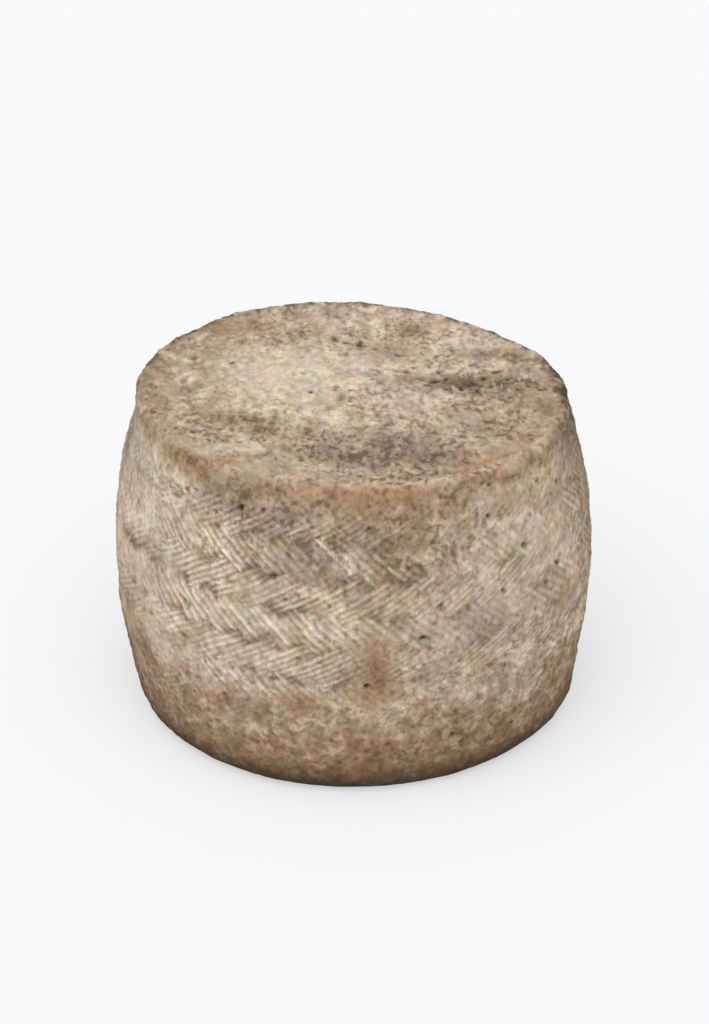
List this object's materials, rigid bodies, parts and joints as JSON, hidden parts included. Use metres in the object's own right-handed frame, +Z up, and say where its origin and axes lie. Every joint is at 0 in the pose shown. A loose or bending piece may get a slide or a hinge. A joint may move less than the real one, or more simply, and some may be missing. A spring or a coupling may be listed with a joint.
{
  "type": "aged goat cheese wheel",
  "caption": "Whole aged goat's-milk cheese: a squat barrel with a rough pitted rind, the zigzag print of a plaited grass belt round its side, a soft lip at the top edge and a flat foot.",
  "frame": {"origin": "centre of the flat foot: under the middle of the wheel's box, on the surface that it stands on", "axes": "+Z up through the wheel from foot to top; -Y towards the viewer, the side where the belt's print is clearest on the left; +X to the viewer's right, the way the top falls"},
  "size_m": [0.1652, 0.1654, 0.1138],
  "materials": {
    "rind": null
  },
  "bodies": {
    "root": {"goat_cheese": "rind"}
  },
  "joints": []
}
